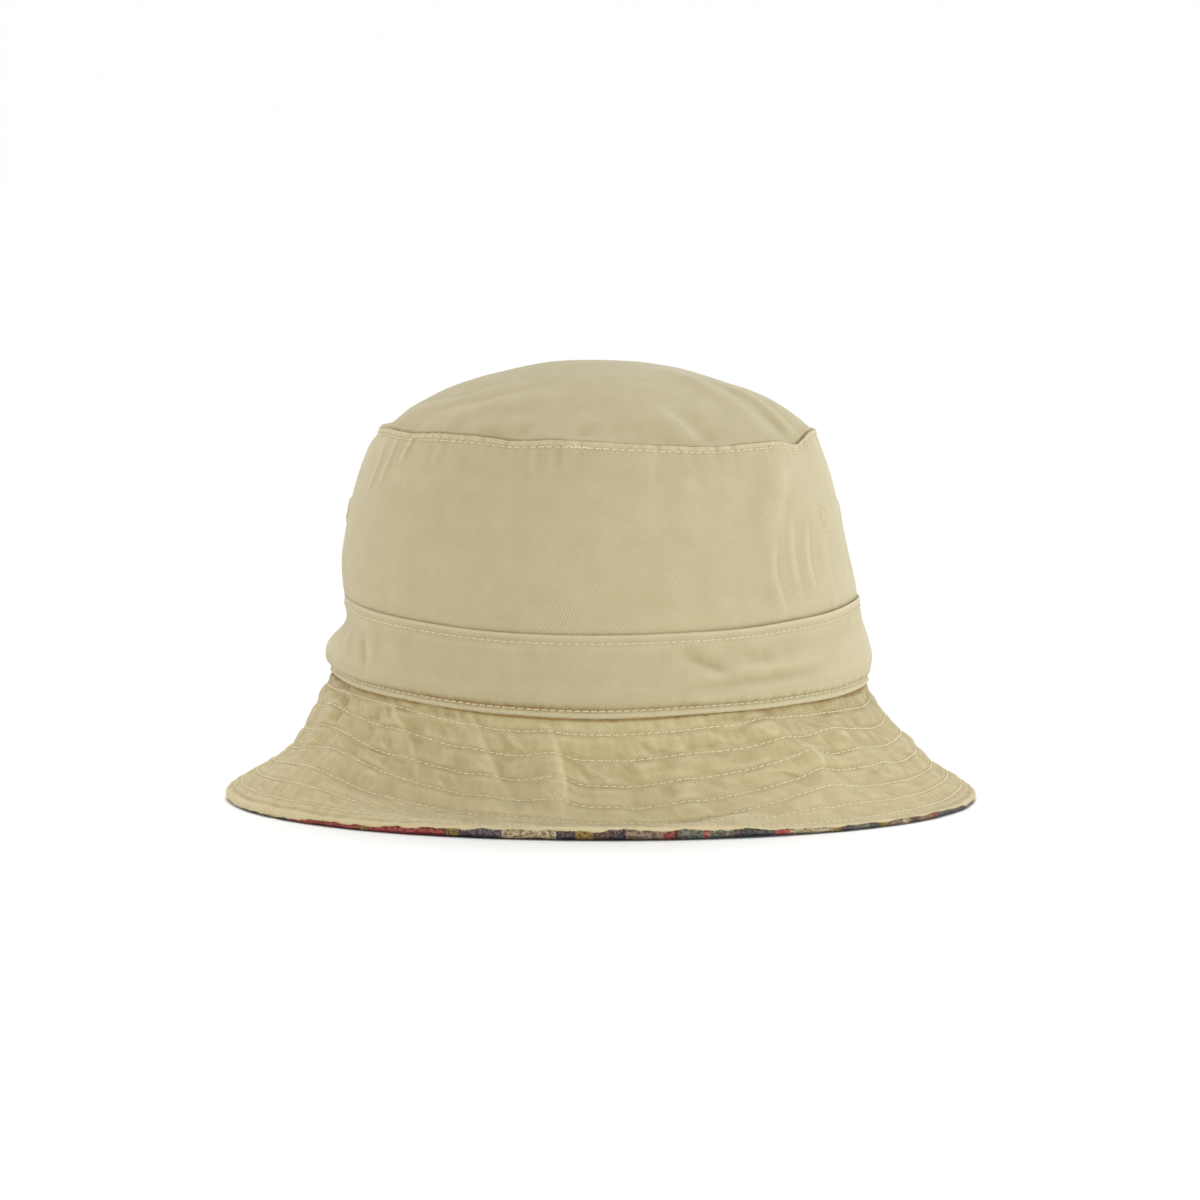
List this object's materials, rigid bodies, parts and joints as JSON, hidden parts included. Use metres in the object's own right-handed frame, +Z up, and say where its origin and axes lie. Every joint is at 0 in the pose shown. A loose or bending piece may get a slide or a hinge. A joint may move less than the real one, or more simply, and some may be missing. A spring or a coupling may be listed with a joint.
{
  "type": "bucket hat",
  "caption": "Lined cotton bucket hat with a domed crown, a folded band, worked eyelets and a flared, row-stitched brim.",
  "frame": {"origin": "on the surface the hat stands on, under the middle of the crown", "axes": "+Z up through the crown, -Y the front of the hat, +X its left side when worn"},
  "size_m": [0.2664, 0.282, 0.1564],
  "materials": {
    "khaki_twill": "matte cotton twill, washed khaki",
    "plaid_cotton": "matte patchwork of woven checks in red, navy, green, mustard and cream",
    "interlining": "matte bonded felt",
    "khaki_thread": "soft satin cotton thread, lighter than the twill"
  },
  "bodies": {
    "root": {"crown_tip": "khaki_twill", "lining_tip": "plaid_cotton", "crown_side_front": "khaki_twill", "crown_side_back": "khaki_twill", "lining_side_front": "plaid_cotton", "lining_side_back": "plaid_cotton", "eyelet_left_front": "khaki_thread", "eyelet_left_back": "khaki_thread", "eyelet_right_front": "khaki_thread", "eyelet_right_back": "khaki_thread", "hat_band": "khaki_twill", "brim_top_front": "khaki_twill", "brim_top_back": "khaki_twill", "brim_interlining": "interlining", "brim_underside_front": "plaid_cotton", "brim_underside_back": "plaid_cotton", "tip_seam_stitching": "khaki_thread", "band_top_stitching": "khaki_thread", "band_bottom_stitching": "khaki_thread", "brim_stitching_row_1": "khaki_thread", "brim_stitching_row_2": "khaki_thread", "brim_stitching_row_3": "khaki_thread", "brim_stitching_row_4": "khaki_thread", "brim_stitching_row_5": "khaki_thread", "brim_stitching_row_6": "khaki_thread", "brim_stitching_row_7": "khaki_thread"}
  },
  "joints": []
}
